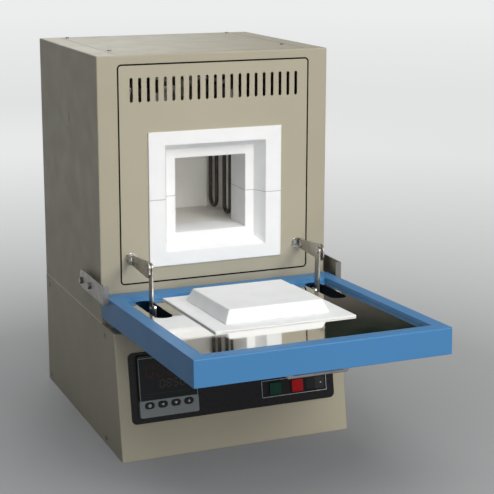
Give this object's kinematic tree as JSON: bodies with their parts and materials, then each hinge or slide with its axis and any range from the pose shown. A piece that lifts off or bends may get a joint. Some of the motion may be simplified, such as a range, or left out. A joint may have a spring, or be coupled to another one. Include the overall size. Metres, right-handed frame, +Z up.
{
  "type": "muffle furnace",
  "caption": "Bench muffle furnace with a flap-down door on folding stays, a fibre-lined chamber with hanging heating elements and a sloping control panel",
  "frame": {"origin": "On the floor plane, straight below the middle of the upper case's front face", "axes": "+X to the user's right, +Y towards the back of the furnace, +Z up; the open door reaches towards -Y"},
  "size_m": [0.412, 0.7716, 0.6158],
  "materials": {
    "case_paint": "satin warm grey-beige powder coat",
    "panel_paint": "satin warm grey-beige powder coat",
    "door_paint": "satin light blue enamel",
    "fibre_white": "dry vacuum-formed ceramic fibre, stood in by matte plastic",
    "fibre_board": "ceramic fibre board, stood in by matte plastic",
    "lining_brick": "fired fibre lining, stood in by matte plastic",
    "polished_sheet": "mirror-polished stainless sheet",
    "inner_steel": "plain steel sheet",
    "element_dark": "glassy near-black molybdenum disilicide, stood in by cast iron",
    "holder_ceramic": "ceramic, stood in by gloss plastic",
    "strap_aluminium": "aluminium",
    "bright_steel": "zinc or nickel plated steel",
    "fastener_steel": "plated screws",
    "black_panel": "black overlay",
    "bezel_grey": "silver-grey moulding",
    "display_window": "smoked window",
    "black_plastic": "black plastic",
    "button_green": "dark green cap",
    "button_red": "red cap",
    "core_steel": "stacked core laminations",
    "coil_wrap": "varnished windings"
  },
  "bodies": {
    "furnace_body": {"case_shell": "case_paint", "top_cover": "case_paint", "rear_cover": "case_paint", "front_panel": "panel_paint", "base_housing": "case_paint", "base_floor": "inner_steel", "base_rear_panel": "case_paint", "cable_gland": "black_plastic", "case_screws": "fastener_steel", "mouth_ring_upper": "fibre_white", "mouth_ring_lower": "fibre_white", "chamber_floor": "lining_brick", "chamber_side_walls": "lining_brick", "chamber_back_wall": "lining_brick", "chamber_roof": "lining_brick", "insulation_bottom": "fibre_board", "insulation_sides": "fibre_board", "insulation_back": "fibre_board", "insulation_top": "fibre_board", "inner_shell": "inner_steel", "inner_shell_stand": "inner_steel", "heating_elements_left": "element_dark", "heating_elements_right": "element_dark", "element_holders": "holder_ceramic", "element_straps": "strap_aluminium", "thermocouple": "holder_ceramic", "transformer_core": "core_steel", "transformer_coil": "coil_wrap", "power_regulator": "strap_aluminium", "fan_frame": "black_plastic", "fan_guard": "bright_steel", "control_panel": "black_panel", "controller_bezel": "bezel_grey", "controller_window": "display_window", "controller_body": "black_plastic", "switch_block": "black_plastic", "hinge_posts": "inner_steel", "hinge_pins": "bright_steel", "stay_brackets": "bright_steel"},
    "door": {"door_shell": "door_paint", "door_mirror_sheet": "polished_sheet", "door_insulation": "fibre_board", "plug_plate": "fibre_white", "door_plug": "fibre_white", "door_handle": "strap_aluminium", "hinge_brackets": "inner_steel", "side_arms": "bright_steel", "stay_anchors": "bright_steel"},
    "stay_upper_left": {"stay_upper_link_left": "bright_steel"},
    "stay_lower_left": {"stay_lower_link_left": "bright_steel"},
    "stay_upper_right": {"stay_upper_link_right": "bright_steel"},
    "stay_lower_right": {"stay_lower_link_right": "bright_steel"},
    "key_function_cap": {"key_function": "black_plastic"},
    "key_shift_cap": {"key_shift": "black_plastic"},
    "key_down_cap": {"key_down": "black_plastic"},
    "key_up_cap": {"key_up": "black_plastic"},
    "green_button_cap": {"green_button": "button_green"},
    "red_button_cap": {"red_button": "button_red"},
    "rocker_cap": {"rocker_switch": "black_plastic"},
    "impeller": {"fan_impeller": "black_plastic"}
  },
  "joints": [
    {"name": "door_hinge", "type": "hinge", "parent": "furnace_body", "child": "door", "pos_m": [0, -0.0129, 0.2324], "axis": [-1, 0, 0], "range_deg": [0, 87.67]},
    {"name": "stay_upper_left_pivot", "type": "hinge", "parent": "furnace_body", "child": "stay_upper_left", "pos_m": [-0.14475, -0.014, 0.297], "axis": [-1, 0, 0], "range_deg": [0, 87.67]},
    {"name": "stay_elbow_left", "type": "hinge", "parent": "stay_upper_left", "child": "stay_lower_left", "pos_m": [-0.1425, -0.08682, 0.30209], "axis": [-1, 0, 0], "range_deg": [-87.67, 0]},
    {"name": "stay_upper_right_pivot", "type": "hinge", "parent": "furnace_body", "child": "stay_upper_right", "pos_m": [0.14475, -0.014, 0.297], "axis": [-1, 0, 0], "range_deg": [0, 87.67]},
    {"name": "stay_elbow_right", "type": "hinge", "parent": "stay_upper_right", "child": "stay_lower_right", "pos_m": [0.1425, -0.08682, 0.30209], "axis": [-1, 0, 0], "range_deg": [-87.67, 0]},
    {"name": "key_function_press", "type": "slide", "parent": "furnace_body", "child": "key_function_cap", "axis": [0, 0.9844, -0.1758], "range_m": [0, 0.0008], "stiffness_N_per_m": 400},
    {"name": "key_shift_press", "type": "slide", "parent": "furnace_body", "child": "key_shift_cap", "axis": [0, 0.9844, -0.1758], "range_m": [0, 0.0008], "stiffness_N_per_m": 400},
    {"name": "key_down_press", "type": "slide", "parent": "furnace_body", "child": "key_down_cap", "axis": [0, 0.9844, -0.1758], "range_m": [0, 0.0008], "stiffness_N_per_m": 400},
    {"name": "key_up_press", "type": "slide", "parent": "furnace_body", "child": "key_up_cap", "axis": [0, 0.9844, -0.1758], "range_m": [0, 0.0008], "stiffness_N_per_m": 400},
    {"name": "green_button_press", "type": "slide", "parent": "furnace_body", "child": "green_button_cap", "axis": [0, 0.9844, -0.1758], "range_m": [0, 0.003], "stiffness_N_per_m": 300},
    {"name": "red_button_press", "type": "slide", "parent": "furnace_body", "child": "red_button_cap", "axis": [0, 0.9844, -0.1758], "range_m": [0, 0.003], "stiffness_N_per_m": 300},
    {"name": "rocker_tilt", "type": "hinge", "parent": "furnace_body", "child": "rocker_cap", "pos_m": [0.1386, -0.0823, 0.0823], "axis": [0, 0.1758, 0.9844], "range_deg": [0, 18]},
    {"name": "fan_spin", "type": "hinge", "parent": "furnace_body", "child": "impeller", "pos_m": [0, 0.3265, 0.3865], "axis": [0, 1, 0], "continuous": true}
  ],
  "couplings": [
    {"joint": "stay_upper_left_pivot", "follows": "door_hinge", "ratio": 1},
    {"joint": "stay_elbow_left", "follows": "door_hinge", "ratio": -1},
    {"joint": "stay_upper_right_pivot", "follows": "door_hinge", "ratio": 1},
    {"joint": "stay_elbow_right", "follows": "door_hinge", "ratio": -1}
  ]
}
